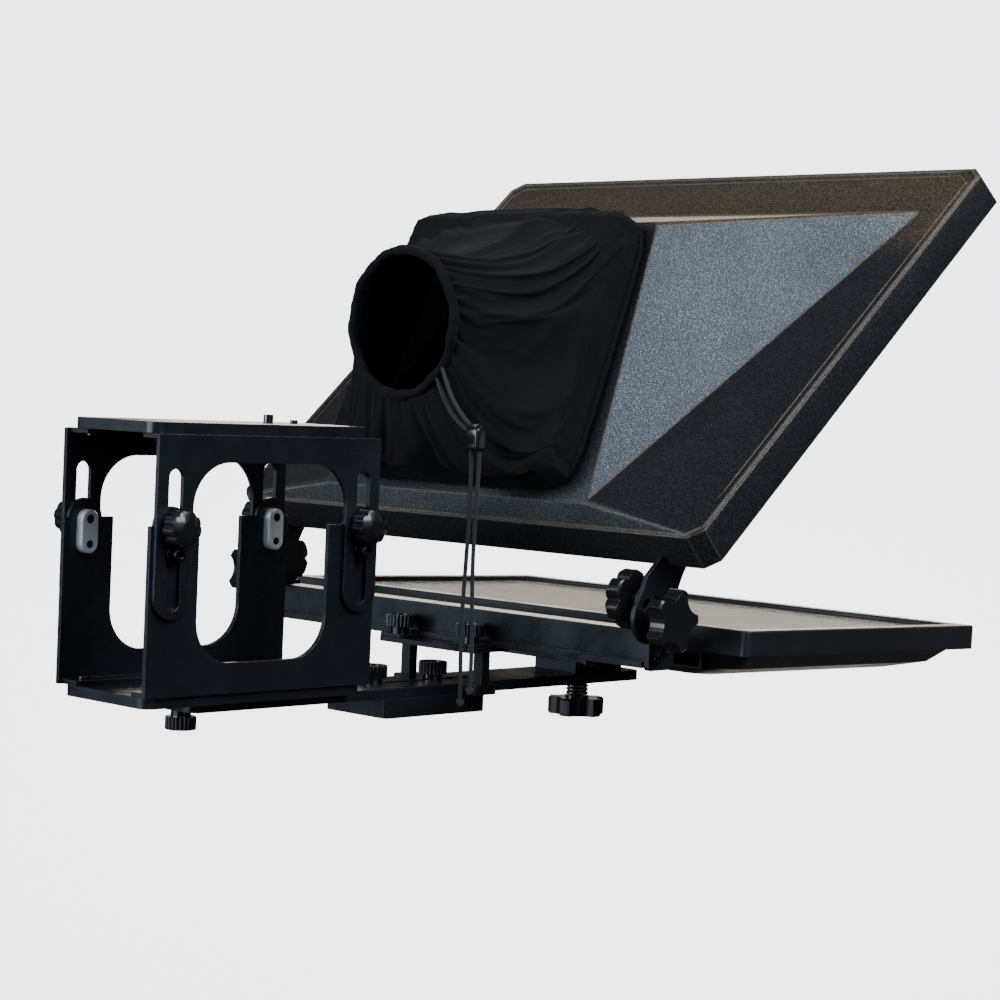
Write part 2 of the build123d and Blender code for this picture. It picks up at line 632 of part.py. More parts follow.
# ---- hood shell: rim, flange, tapering walls, rear plate and collar ----
PLATE_TOP = (108.0, 113.0, 343.0)                 # top corner of the rear plate
PLATE_BOTTOM = (129.0, 30.0, 150.0)               # bottom corner of the rear plate
FLANGE_TOP = (203.0, 346.0)                       # flange corners (x, s)
FLANGE_BOTTOM = (222.0, 4.0)
PLATE_DY, PLATE_DZ = PLATE_TOP[1] - PLATE_BOTTOM[1], PLATE_TOP[2] - PLATE_BOTTOM[2]
PLATE_L = math.hypot(PLATE_DY, PLATE_DZ)
UP_Y, UP_Z = PLATE_DY / PLATE_L, PLATE_DZ / PLATE_L     # direction up the rear plate
COLLAR_D = 27.0
COLLAR_TOP_X, COLLAR_BOTTOM_X = 98.0, 107.0       # collar half widths
COLLAR_U0, COLLAR_U1 = 14.0, PLATE_L - 8.0        # collar ends up the plate


def plate_point(x, u, v):
    """x across, u up the rear plate from its bottom corner, v rearward."""
    return (x, PLATE_BOTTOM[1] + UP_Y * u - UP_Z * v, PLATE_BOTTOM[2] + UP_Z * u + UP_Y * v)


def corner_ring(place, x_top, w_top, x_bottom, w_bottom, cut):
    """Four-sided ring with its corners cut back; place maps (x, w) to space."""
    slope = (x_top - x_bottom) / (w_top - w_bottom)
    low = (x_bottom + slope * cut, w_bottom + cut)
    high = (x_top - slope * cut, w_top - cut)
    loop = [high, (x_top - cut, w_top), (-(x_top - cut), w_top), (-high[0], high[1]),
            (-low[0], low[1]), (-(x_bottom - cut), w_bottom), (x_bottom - cut, w_bottom), low]
    return [place(x, w) for x, w in loop]


def hood_rings(g):
    """Rings from the rim's front to the collar's rear, drawn in by g."""
    def on_rim(n):
        return lambda x, w: hood_point(x, w, n)

    def on_plate(v):
        return lambda x, w: plate_point(x, w, v)

    ease = g * 0.55
    top, bottom = rim_half(RIM_L), rim_half(0)
    collar = (COLLAR_TOP_X - g, COLLAR_U1 - g, COLLAR_BOTTOM_X - g, COLLAR_U0 + g, 13.0 - ease)
    return [
        corner_ring(on_rim(0), top - g, RIM_L - g, bottom - g, g, 9.0 - ease),
        corner_ring(on_rim(RIM_D - g), top - 3 - g, RIM_L - 2 - g,
                    bottom - 3 - g, 2 + g, 9.0 - ease),
        corner_ring(on_rim(RIM_D - g), FLANGE_TOP[0] - g * 0.4, FLANGE_TOP[1] - g * 0.4,
                    FLANGE_BOTTOM[0] - g * 0.4, FLANGE_BOTTOM[1] + g * 0.2, 2.0),
        corner_ring(on_plate(-g), PLATE_TOP[0] - g * 0.8, PLATE_L - g * 0.8,
                    PLATE_BOTTOM[0] - g * 0.8, g * 0.8, 3.0),
        corner_ring(on_plate(-g), *collar),
        corner_ring(on_plate(COLLAR_D), *collar),
    ]


def hood_shell():
    # both side quads split from the flange's top corner to the plate's bottom corner
    return ring_shell(hood_rings(0), hood_rings(WALL), flipped={(2, 7)})


# ---- glass, frame and clips ----
FRAME_INSET = WALL + 1.95
BRACKET_FIXINGS = ((203.0, 12.5), (213.5, 36.0))  # bracket screws on the frame (x, s)


def frame_slab(n, thickness, bottom, top, side):
    """Slab in the frame's outline, drawn in at its bottom, top and sides."""
    cut = 8.0
    s0, s1 = FRAME_INSET + bottom, RIM_L - FRAME_INSET - top
    x_bottom = rim_half(0) - FRAME_INSET - side
    x_top = rim_half(RIM_L) - FRAME_INSET - side
    slope = (x_top - x_bottom) / (s1 - s0)
    low, high = x_bottom + slope * cut, x_top - slope * cut
    loop = [(-(x_bottom - cut), s0), (x_bottom - cut, s0), (low, s0 + cut), (high, s1 - cut),
            (x_top - cut, s1), (-(x_top - cut), s1), (-high, s1 - cut), (-low, s0 + cut)]
    return extrude(hood_plane(0, 0, n) * make_face(Polyline(loop + [loop[0]])), thickness)


def glass_frame():
    frame = frame_slab(0.3, 8.0, 0, 0, 0)
    frame -= frame_slab(-1.0, 12.0, 20, 18, 18)
    frame -= frame_slab(4.4, 10.0, 8, 8, 8)
    for sign in SIDES.values():
        for x, s in BRACKET_FIXINGS:
            frame -= hood_plane(sign * x, s, 0).location * Cylinder(1.9, 8)
    return frame


def beam_splitter_glass():
    return frame_slab(4.5, 4.0, 8.5, 8.5, 8.6)


def glass_edge_strip():
    """Soft strip behind the glass edges."""
    return frame_slab(8.55, 2.0, 8.5, 8.5, 8.6) - frame_slab(8.0, 4.0, 16.5, 16.5, 16.6)


def glass_clips():
    inset, along, across = FRAME_INSET + 12, 10.0, 11.0
    # centre (x, s) and half sizes in x and s
    clips = [(x, s, along, across) for s in (RIM_L - inset, inset) for x in (-120, 120)]
    clips += [(sign * (rim_half(s) - inset), s, across, along)
              for s in (130, 290) for sign in (-1, 1)]
    return Compound(children=[hood_box(x - half_x, x + half_x, s - half_s, s + half_s, 10.6, 12.4)
                              for x, s, half_x, half_s in clips])


# ---- hood brackets and tilt hardware ----
def hood_bracket_profile():
    """Plate from the pivot to the frame, as (Y, Z), with an arc slot for the lock screw."""
    frame_edge = [hood_point(0, s, n)[1:]
                  for s, n in ((-0.6, 9.0), (-0.6, -0.15), (46.0, -0.15), (46.0, -3.0))]
    outline = [(PIV_Y - 16.6, PIV_Z + 3.5), (PIV_Y - 5.0, 108.0), *frame_edge, (60.0, 108.0),
               (52.5, 92.0), (PIV_Y + 15.0, PIV_Z - 8.0), (PIV_Y, PIV_Z)]
    profile = Pos(PIV_Y, PIV_Z) * Circle(17.0)
    profile += make_face(Polyline(outline + [outline[0]]))
    profile -= Pos(PIV_Y, PIV_Z) * Circle(3.05)
    slot_r, slot_half = LOCK_Z - PIV_Z, 2.75
    slot = Circle(slot_r + slot_half) - Circle(slot_r - slot_half)
    # sector from the pivot; angles in degrees from upright, positive to the front
    sector = [(30 * math.sin(math.radians(a)), 30 * math.cos(math.radians(a)))
              for a in (-56, -42, -28, -14, 0, 13, 26)]
    slot = slot & make_face(Polyline([(0, 0)] + sector + [(0, 0)]))
    profile -= Pos(PIV_Y, PIV_Z) * slot
    return profile


def hood_bracket(sign):
    bracket = extrude_x(hood_bracket_profile(),
                        *span(sign, HOOD_BRACKET_X, HOOD_BRACKET_X + SHEET))
    bracket += hood_box(*span(sign, HOOD_BRACKET_X, 218.0), 4.5, 46.0, -SHEET - 0.15, -0.15)
    for x, s in BRACKET_FIXINGS:
        bracket -= hood_plane(sign * x, s, 0).location * Cylinder(2.1, 12)
    return bracket


def hood_bracket_screws():
    screws = []
    for sign in SIDES.values():
        for x, s in BRACKET_FIXINGS:
            screw = rod(3.8, 2.0, z=-5.2) - rod(1.3, 1.2, z=-5.3) + rod(1.85, 7.0, z=-3.3)
            screws.append(hood_plane(sign * x, s, 0).location * screw)
    return Compound(children=screws)


def pivot_bolts():
    """Heads inside the ears, threads outwards."""
    return Compound(children=[
        along_x(rod(6.4, 4.6, z=-4.6) + rod(2.95, 28.0), sign * (EAR_X - GAP), PIV_Y, PIV_Z, sign)
        for sign in SIDES.values()])


def pivot_star_knob(sign):
    """Outside the hood bracket."""
    knob = eased(star(21.0, 5, 12.5, 26.2, 12.0), 21.0, 12.0, 1.2)
    knob = Pos(0, 0, 11.0) * knob + rod(5.4, 11.5)
    knob -= rod(3.0, 21.5)
    seat_x = HOOD_BRACKET_X + SHEET + 0.1
    return along_x(Rot(0, 0, 20) * knob, sign * seat_x, PIV_Y, PIV_Z, sign)


def tilt_lock_knob(sign):
    """Inside the ear, its screw through ear and arc slot."""
    knob = eased(lobed(19.5, 13.5, 6, 1.8, 11.0), 19.5, 11.0, 1.5)
    knob = Pos(0, 0, 6.6) * knob + rod(4.2, 7.0)
    knob += rod(2.45, 9.6, z=-9.5)
    return along_x(knob, sign * (EAR_X - 0.1), PIV_Y, LOCK_Z, -sign)


def tilt_lock_nuts():
    seat_x = HOOD_BRACKET_X + SHEET + 0.1
    return Compound(children=[
        along_x(extrude(RegularPolygon(4.9, 6), 3.0) - rod(2.5, 3.0),
                sign * seat_x, PIV_Y, LOCK_Z, sign)
        for sign in SIDES.values()])


# ---- cloth shroud: sleeve over the collar, narrowing to the lens opening ----
RING_POINTS = 28
OPEN_Y, OPEN_Z = -22.0, 266.0                     # centre of the lens opening


def signed_power(value, exponent):
    return math.copysign(abs(value) ** exponent, value)


def sleeve_ring(u_centre, v, half_top, half_bottom, half_height, power):
    """Superellipse parallel to the rear plate, its width tapering up the plate."""
    ring = []
    for k in range(RING_POINTS):
        angle = 2 * math.pi * k / RING_POINTS
        across = signed_power(math.cos(angle), 2 / power)
        up = signed_power(math.sin(angle), 2 / power)
        half = half_bottom + (half_top - half_bottom) * (up + 1) / 2
        ring.append(plate_point(half * across, u_centre + half_height * up, v))
    return ring


def shroud_rings(t):
    """Rings from the collar to the lens opening, drawn in by t."""
    centre, half = (COLLAR_U1 + COLLAR_U0) / 2, (COLLAR_U1 - COLLAR_U0) / 2
    loose = 2.6 - t
    rings = []
    for v, ease, power in ((5.0, 5, 9.0), (COLLAR_D + 3.5, 4, 8.0)):
        rings.append(sleeve_ring(centre, v, COLLAR_TOP_X + ease + loose,
                                 COLLAR_BOTTOM_X + ease + loose, half + ease + loose, power))
    rings.append(sleeve_ring(centre - 5.0, 46.0, 91 - t, 97 - t, half + 2 - t, 4.0))
    rings.append(sleeve_ring(centre - 8.0, 62.0, 74 - t, 78 - t, half - 18 - t, 3.0))
    rings.append([(x, OPEN_Y, OPEN_Z + z) for x, z in around(RING_POINTS, OPEN_R + 3.0 - t)])
    return rings


def shroud():
    return ring_shell(shroud_rings(0.0), shroud_rings(2.0))


def drawcord():
    """Two hanging cord ends and the cord lock above them."""
    cord_top = 180.0
    pieces = [rod(1.5, cord_top - z, x, y, z) for x, y, z in ((75.0, -26.0, 12.0),
                                                              (80.0, -23.0, 21.0))]
    pieces.append(fillet(box(71.5, 83.5, -29.5, -19.5, 181.0, 199.0).edges(), 2.0))
    return Compound(children=pieces)


# ---- write the parts ----
SINGLE = (
    tripod_block, main_rail, riser_bottom_plate, riser_guide_pin, riser_clamp_screw,
    riser_clamp_nut, riser_top_plate, camera_slide_strip, camera_screw, camera_locating_pin,
    support_bracket, support_screws, cross_channel, channel_end_blocks, end_ear_screws,
    monitor_bezel, lcd_panel, monitor_back_cover, power_inlet, circuit_boards,
    monitor_mount_plate, mount_screws, mount_spacer, mount_star_knob, mount_knob_spring,
    hood_shell, glass_frame, beam_splitter_glass, glass_edge_strip, glass_clips,
    hood_bracket_screws, tilt_lock_nuts, pivot_bolts, shroud, drawcord,
)
PAIRED = (lower_bracket, upper_bracket, channel_screw, end_ear, hood_bracket,
          pivot_star_knob, tilt_lock_knob)

os.makedirs("parts", exist_ok=True)


def save(name, shape):
    export_step(shape, "parts/" + name + ".step")


for make in SINGLE:
    save(make.__name__, make())
for side, sign in SIDES.items():
    for make in PAIRED:
        save(make.__name__ + "_" + side, make(sign))
    for end, y in LEG_Y.items():
        save("riser_knob_" + end + "_" + side, riser_knob(sign, y))
for end, y in RAIL_SCREW_Y.items():
    save("rail_screw_" + end, rail_screw(y))
save("lower_bracket_screws", bracket_screws(LOW_PLATE_TOP + SHEET + HAIR, shank=8.02, flip=0))
save("upper_bracket_screws", bracket_screws(TOP_PLATE_Z - SHEET - HAIR, shank=6.82, flip=180))
save("riser_nut_plates", at_each_leg(nut_plate))
save("riser_bushings", at_each_leg(bushing))
save("riser_cap_screws", at_each_leg(cap_screw))
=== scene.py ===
"""A slanted display hood with a gathered cloth shroud, on a pale studio floor.

X runs across the hood, Z is up. The hood's rim plane rises towards +Y; its plate, with the
collar that carries the shroud, looks towards -Y, and the shroud narrows to a round opening
there. Lengths are in millimetres and scaled by MM, except where metres are named.
"""
import json
import math

import bmesh
import bpy
from mathutils import Matrix, Vector


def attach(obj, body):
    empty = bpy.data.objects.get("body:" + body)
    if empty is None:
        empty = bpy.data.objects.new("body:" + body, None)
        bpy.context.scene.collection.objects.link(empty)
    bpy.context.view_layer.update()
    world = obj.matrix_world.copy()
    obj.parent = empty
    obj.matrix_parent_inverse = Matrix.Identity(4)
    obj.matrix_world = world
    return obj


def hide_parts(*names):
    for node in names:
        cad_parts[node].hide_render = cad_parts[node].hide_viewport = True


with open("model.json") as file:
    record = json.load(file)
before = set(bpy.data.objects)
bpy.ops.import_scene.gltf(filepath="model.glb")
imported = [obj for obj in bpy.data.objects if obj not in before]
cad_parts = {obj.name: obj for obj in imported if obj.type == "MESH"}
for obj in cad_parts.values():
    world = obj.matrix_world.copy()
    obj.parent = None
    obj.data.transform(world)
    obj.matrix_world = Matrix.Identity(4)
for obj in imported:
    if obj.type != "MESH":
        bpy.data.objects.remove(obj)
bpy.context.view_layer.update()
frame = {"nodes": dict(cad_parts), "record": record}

PIECES = frame["nodes"]
SLOT_OF = {e["node"]: e["material_slot"] for e in frame["record"]["subparts"]}
MM = 0.001
MATERIALS = {}


# ---------------------------------------------------------------------------
# Node tree helpers
# ---------------------------------------------------------------------------
class Tree:
    """Short hand for building one node tree; a value is a number, a tuple or a socket."""

    def __init__(self, tree, coords):
        self.tree = tree
        self.coords = self.add("ShaderNodeTexCoord").outputs[coords]

    def feed(self, socket, value):
        if isinstance(value, bpy.types.NodeSocket):
            self.tree.links.new(value, socket)
        elif socket.type == "RGBA":
            socket.default_value = (*value, 1.0)
        else:
            socket.default_value = value

    def add(self, kind, inputs=None, **settings):
        node = self.tree.nodes.new(kind)
        for key, value in settings.items():
            setattr(node, key, value)
        for key, value in (inputs or {}).items():
            self.feed(node.inputs[key], value)
        return node

    def ramp(self, value, span, to=(0.0, 1.0), **settings):
        """Maps the span of value onto the range to, clamped."""
        inputs = {"From Min": span[0], "From Max": span[1],
                  "To Min": to[0], "To Max": to[1], "Value": value}
        return self.add("ShaderNodeMapRange", inputs, **settings).outputs["Result"]

    def mix(self, factor, first, second):
        inputs = {"Factor": factor, 6: first, 7: second}
        return self.add("ShaderNodeMix", inputs, data_type="RGBA").outputs[2]

    def dot(self, first, second):
        inputs = {0: first, 1: second}
        node = self.add("ShaderNodeVectorMath", inputs, operation="DOT_PRODUCT")
        return node.outputs["Value"]


class Material(Tree):
    """A new material, textured in object coordinates (metres)."""

    def __init__(self, name):
        material = bpy.data.materials.new(name)
        material.use_nodes = True
        MATERIALS[name] = material
        super().__init__(material.node_tree, "Object")

    def set(self, **values):
        """Feeds the Principled shader; underscores stand for spaces."""
        inputs = self.tree.nodes["Principled BSDF"].inputs
        for key, value in values.items():
            self.feed(inputs[key.replace("_", " ")], value)

    def scaled(self, scale):
        inputs = {"Scale": scale, "Vector": self.coords}
        return self.add("ShaderNodeMapping", inputs).outputs["Vector"]

    def noise(self, scale, detail, rough, vector=None, distortion=0.0):
        inputs = {"Scale": scale, "Detail": detail, "Roughness": rough,
                  "Distortion": distortion, "Vector": vector or self.coords}
        return self.add("ShaderNodeTexNoise", inputs).outputs["Fac"]

    def wave(self, direction, vector, **inputs):
        inputs["Vector"] = vector
        return self.add("ShaderNodeTexWave", inputs, wave_type="BANDS",
                        bands_direction=direction).outputs["Fac"]

    def math(self, operation, first, *others):
        """Applies the operation from left to right."""
        for other in others:
            inputs = {0: first, 1: other}
            first = self.add("ShaderNodeMath", inputs, operation=operation).outputs[0]
        return first

    def mul(self, *factors):
        return self.math("MULTIPLY", *factors)

    def sum(self, *terms):
        return self.math("ADD", *terms)

    def rounded_normal(self, radius):
        return self.add("ShaderNodeBevel", {"Radius": radius}, samples=4).outputs["Normal"]

    def normal(self):
        return self.add("ShaderNodeNewGeometry").outputs["Normal"]

    def edge_mask(self, radius, gain=6.0):
        """1 on sharp edges, 0 on flats."""
        flat = self.dot(self.rounded_normal(radius), self.normal())
        return self.math("MINIMUM", self.mul(self.math("SUBTRACT", 1.0, flat), gain), 1.0)

    def bump(self, *layers, radius=0.0):
        """Layers are (height, distance in metres, strength); radius rounds sharp edges."""
        normal = self.rounded_normal(radius) if radius else None
        for height, distance, strength in layers:
            inputs = {"Distance": distance, "Strength": strength, "Height": height}
            if normal is not None:
                inputs["Normal"] = normal
            normal = self.add("ShaderNodeBump", inputs).outputs["Normal"]
        self.set(Normal=normal)


# ---------------------------------------------------------------------------
# Materials
# ---------------------------------------------------------------------------
def grey(value):
    return (value, value, value)


def surface(name, dark, light, wear, rough, metal, grain=900.0, grain_depth=0.00005,
            grain_strength=0.35, edge=0.0006, edge_wear=0.7, patch=9.0, coat=0.0, smear=0.10):
    """Coated or moulded hard surface: colour drift, fine grain, handling smears, worn edges."""
    m = Material(name)
    drift = m.ramp(m.noise(scale=patch, detail=5, rough=0.65), span=(0.35, 0.68))
    fine = m.noise(scale=grain, detail=3, rough=0.7)
    broken = m.ramp(m.noise(scale=160.0, detail=4, rough=0.75), span=(0.38, 0.62))
    worn = m.mul(m.edge_mask(edge), broken, edge_wear)
    smears = m.ramp(m.noise(scale=26.0, detail=6, rough=0.72, distortion=0.6),
                    span=(0.42, 0.72), to=(-smear, smear))
    worn_polish = m.mul(worn, -0.08)
    m.set(Base_Color=m.mix(worn, m.mix(drift, dark, light), wear),
          Roughness=m.sum(smears, rough, worn_polish),
          Metallic=metal, Coat_Weight=coat, Coat_Roughness=0.12)
    m.bump((fine, grain_depth, grain_strength), radius=edge)


def hard_surfaces():
    surface("anodised_black", dark=(0.018, 0.020, 0.024), light=(0.034, 0.038, 0.045),
            wear=(0.20, 0.21, 0.23), rough=0.36, metal=0.60, edge=0.0007, edge_wear=0.8)
    surface("frame_black", dark=(0.012, 0.012, 0.013), light=(0.022, 0.022, 0.024),
            wear=(0.10, 0.10, 0.11), rough=0.48, metal=0.4)
    surface("fastener_steel", dark=(0.035, 0.035, 0.038), light=(0.07, 0.07, 0.074),
            wear=(0.32, 0.32, 0.33), rough=0.27, metal=0.95, edge=0.0004)
    surface("black_chrome", dark=(0.075, 0.078, 0.085), light=(0.12, 0.123, 0.13),
            wear=(0.45, 0.46, 0.48), rough=0.17, metal=1.0, edge=0.0003, smear=0.05)
    surface("spring_steel", dark=(0.22, 0.22, 0.23), light=(0.34, 0.34, 0.35),
            wear=grey(0.6), rough=0.26, metal=1.0, edge=0.0003)
    surface("knob_plastic", dark=(0.008, 0.008, 0.0085), light=(0.013, 0.013, 0.014),
            wear=(0.06, 0.06, 0.065), rough=0.20, metal=0.0,
            grain=500, grain_depth=0.00002, coat=0.35, smear=0.08)
    surface("bezel_plastic", dark=(0.012, 0.012, 0.014), light=(0.019, 0.019, 0.022),
            wear=(0.07, 0.07, 0.075), rough=0.42, metal=0.0, grain=1400, grain_strength=0.5)
    surface("cover_plastic", dark=(0.009, 0.009, 0.010), light=(0.014, 0.014, 0.016),
            wear=(0.05, 0.05, 0.055), rough=0.30, metal=0.0,
            grain=700, grain_depth=0.00003, coat=0.15)
    surface("inlet_plastic", dark=grey(0.011), light=grey(0.018), wear=grey(0.06),
            rough=0.45, metal=0.0)
    surface("soft_strip", dark=grey(0.010), light=grey(0.017), wear=grey(0.03),
            rough=0.82, metal=0.0, grain=600, grain_depth=0.0001, grain_strength=0.6)
    surface("board", dark=(0.010, 0.055, 0.022), light=(0.018, 0.085, 0.036),
            wear=(0.25, 0.25, 0.18), rough=0.35, metal=0.0, grain=350, patch=60)


def bare_aluminium():
    """Machined aluminium with tool lines, closely spaced along Z."""
    m = Material("bare_aluminium")
    edge_radius, edge_wear = 0.0005, 0.5
    lines = m.noise(scale=1.0, detail=3, rough=0.7, vector=m.scaled((60, 60, 2600)))
    drift = m.ramp(m.noise(scale=45, detail=4, rough=0.7), span=(0.3, 0.7))
    colour = m.mix(drift, (0.70, 0.71, 0.73), (0.84, 0.85, 0.86))
    worn = m.mul(m.edge_mask(edge_radius), edge_wear)
    m.set(Base_Color=m.mix(worn, colour, (0.90, 0.91, 0.92)), Metallic=0.55,
          Roughness=m.ramp(lines, span=(0.3, 0.7), to=(0.30, 0.48)))
    m.bump((lines, 0.00003, 0.5), radius=edge_radius)


def hood_abs():
    """Vacuum-formed sheet with a leather grain that glitters in grazing light; its top facets
    carry painted warm light, and its flecks a painted warm or cool reflection tint.
    """
    m = Material("hood_abs")
    voronoi = m.add("ShaderNodeTexVoronoi", {"Scale": 760.0, "Vector": m.coords}, feature="F1")
    hair = m.noise(scale=1050.0, detail=3, rough=0.7)
    coarse_hair = m.noise(scale=560.0, detail=2, rough=0.6)
    # shares of the three grains in the height
    height = m.sum(m.mul(voronoi.outputs["Distance"], 0.55),
                   m.sum(m.mul(hair, 1.0), m.mul(coarse_hair, 0.7)))

    drift = m.ramp(m.noise(scale=6.0, detail=5, rough=0.7), span=(0.34, 0.70))
    colour = m.mix(drift, (0.0060, 0.0060, 0.0066), (0.0105, 0.0103, 0.0105))

    # dust on faces that look up, near the top; the same tan also stands in for painted warm light
    # on the top facets
    facing = m.add("ShaderNodeSeparateXYZ", {0: m.normal()})
    place = m.add("ShaderNodeSeparateXYZ", {0: m.coords})
    upward = m.ramp(facing.outputs["Z"], span=(0.30, 0.90))
    top = m.ramp(place.outputs["Z"], span=(0.325, 0.345))
    speck = m.ramp(m.noise(scale=900.0, detail=2, rough=0.6), span=(0.42, 0.56), to=(0.25, 1.0))
    cloudy = m.ramp(m.noise(scale=21.0, detail=4, rough=0.6), span=(0.30, 0.72), to=(0.55, 1.0))
    dust = m.mul(upward, top, cloudy)
    dust_and_warm_light_amount, edge_wear_and_highlight_amount = 0.16, 0.85
    colour = m.mix(m.mul(dust, speck, dust_and_warm_light_amount), colour, (0.17, 0.12, 0.08))
    # tan on the sharp edges: edge wear, and also a painted warm highlight along the folds
    worn = m.mul(m.edge_mask(radius=0.0016, gain=34.0), speck, edge_wear_and_highlight_amount)
    colour = m.mix(worn, colour, (0.26, 0.19, 0.12))

    # the raised grains are polished, but not on the tan edges, which are edge wear and painted
    # highlight
    fleck = m.ramp(m.noise(scale=1180.0, detail=2, rough=0.55, distortion=0.7),
                   span=(0.515, 0.60))
    patchy = m.ramp(m.noise(scale=16.0, detail=5, rough=0.7), span=(0.30, 0.70), to=(0.72, 1.0))
    fleck = m.mul(fleck, patchy, m.math("SUBTRACT", 1.0, worn))
    # painted reflection: flecks on top facets that look up are tinted warm, the rest cool, by
    # facet direction and height
    painted_reflection_tint = m.mix(m.mul(upward, top), (0.150, 0.158, 0.178), (0.66, 0.48, 0.31))
    fleck_colour, fleck_metal = 0.85, 0.92
    smear = m.ramp(m.noise(scale=11.0, detail=3, rough=0.55), span=(0.40, 0.70),
                   to=(-0.03, 0.05))
    base_roughness = 0.36
    m.set(Base_Color=m.mix(m.mul(fleck, fleck_colour), colour, painted_reflection_tint),
          Roughness=m.sum(smear, base_roughness), Metallic=m.mul(fleck, fleck_metal),
          Specular_IOR_Level=0.45)
    m.bump((height, 0.00026, 0.5), radius=0.0022)


def cloth():
    """Woven black cloth; the threads follow the UV map."""
    m = Material("cloth")
    threads = 520.0
    dark, light = (0.0034, 0.0034, 0.0038), (0.0068, 0.0066, 0.0066)
    raised = tuple(c * 1.7 for c in light)
    weave_tint, lint_tint = 0.25, 0.22
    flat = m.add("ShaderNodeUVMap").outputs["UV"]
    mapping = m.add("ShaderNodeMapping", {"Scale": (threads, threads, 1), "Vector": flat})
    warp, weft = (m.wave(axis, mapping.outputs["Vector"], Scale=1.0, Distortion=0.6, Detail=1.0)
                  for axis in "XY")
    weave = m.math("MAXIMUM", warp, weft)
    fuzz = m.noise(scale=1600.0, detail=4, rough=0.8)
    drift = m.ramp(m.noise(scale=14.0, detail=5, rough=0.7), span=(0.35, 0.7))
    lint = m.ramp(m.noise(scale=420.0, detail=2, rough=0.5), span=(0.74, 0.80))
    colour = m.mix(drift, dark, light)
    colour = m.mix(m.mul(weave, weave_tint), colour, raised)
    colour = m.mix(m.mul(lint, lint_tint), colour, grey(0.06))
    m.set(Base_Color=colour, Roughness=m.ramp(fuzz, span=(0.3, 0.7), to=(0.84, 0.97)),
          Metallic=0.0, Sheen_Weight=0.045, Sheen_Roughness=0.45,
          Sheen_Tint=(0.75, 0.74, 0.72), Specular_IOR_Level=0.18)
    m.bump((weave, 0.00016, 0.5), (fuzz, 0.00012, 0.4),
           (m.noise(scale=110.0, detail=3, rough=0.6), 0.0007, 0.35))


def braided_cord():
    m = Material("cord")
    strands = [m.wave("DIAGONAL", m.scaled((900, 900, z)), Scale=0.5) for z in (900, -900)]
    braid = m.math("MAXIMUM", *strands)
    m.set(Base_Color=m.mix(braid, grey(0.006), (0.028, 0.028, 0.029)), Roughness=0.82,
          Sheen_Weight=0.15)
    m.bump((braid, 0.0003, 0.8))


def screen():
    """Anti-glare panel: faint cell structure under a low gloss front."""
    m = Material("screen")
    cells = m.add("ShaderNodeTexBrick", {"Scale": 1.0, "Mortar Size": 0.03,
                                         "Vector": m.scaled(grey(1400))})
    drift = m.ramp(m.noise(scale=5.0, detail=4, rough=0.6), span=(0.3, 0.7))
    dust = m.ramp(m.noise(scale=520.0, detail=3, rough=0.7), span=(0.66, 0.74))
    dust_tint, cell_tint = 0.35, 0.06
    colour = m.mix(drift, (0.25, 0.24, 0.228), (0.33, 0.318, 0.30))
    colour = m.mix(m.mul(dust, dust_tint), colour, (0.62, 0.60, 0.57))
    colour = m.mix(m.mul(cells.outputs["Fac"], cell_tint), colour, (0.10, 0.09, 0.08))
    gloss = m.ramp(m.noise(scale=60.0, detail=6, rough=0.75), span=(0.3, 0.7), to=(0.10, 0.22))
    m.set(Base_Color=colour, Roughness=gloss, Coat_Weight=0.5, Coat_Roughness=0.06)
    m.bump((m.noise(scale=2600.0, detail=2, rough=0.5), 0.00002, 0.3))


def glass():
    """Part-mirrored beam splitter."""
    m = Material("glass")
    mirror_share = 0.26
    haze = m.ramp(m.noise(scale=18.0, detail=7, rough=0.8, distortion=1.0), span=(0.45, 0.75))
    clear = m.add("ShaderNodeBsdfTransparent",
                  {"Color": m.mix(haze, (0.83, 0.86, 0.86), (0.74, 0.77, 0.77))})
    mirror = m.add("ShaderNodeBsdfGlossy",
                   {"Color": (0.92, 0.95, 0.96),
                    "Roughness": m.ramp(haze, span=(0, 1), to=(0.015, 0.07))})
    fresnel = m.add("ShaderNodeFresnel", {"IOR": 1.52}).outputs[0]
    share = m.math("MINIMUM", m.sum(fresnel, mirror_share), 1.0)
    blend = m.add("ShaderNodeMixShader", {0: share, 1: clear.outputs[0], 2: mirror.outputs[0]})
    m.feed(m.tree.nodes["Material Output"].inputs["Surface"], blend.outputs[0])


for build in (hard_surfaces, bare_aluminium, hood_abs, cloth, braided_cord, screen, glass):
    build()
for name, piece in PIECES.items():
    piece.data.materials.clear()
    piece.data.materials.append(MATERIALS[SLOT_OF[name]])


# ---------------------------------------------------------------------------
# Mesh helpers
# ---------------------------------------------------------------------------
def finish(piece, slot):
    """Gives a piece its material and smooth shading, and fixes it to the hood."""
    piece.data.materials.clear()
    piece.data.materials.append(MATERIALS[slot])
    for face in piece.data.polygons:
        face.use_smooth = True
    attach(piece, "hood")
    return piece


def link_object(name, data):
    item = bpy.data.objects.new(name, data)
    bpy.context.scene.collection.objects.link(item)
    return item


def mesh_object(name, verts, faces, uvs=None):
    """A mesh object; uvs holds one pair for each vertex."""
    mesh = bpy.data.meshes.new(name)
    mesh.from_pydata([tuple(v) for v in verts], [], faces)
    mesh.update()
    if uvs is not None:
        layer = mesh.uv_layers.new(name="UVMap")
        for loop in mesh.loops:
            layer.data[loop.index].uv = uvs[loop.vertex_index]
    return link_object(name, mesh)


def turn(count, turns=1):
    """Count angles, evenly spaced in each turn."""
    return [2 * math.pi * k / count for k in range(count * turns)]


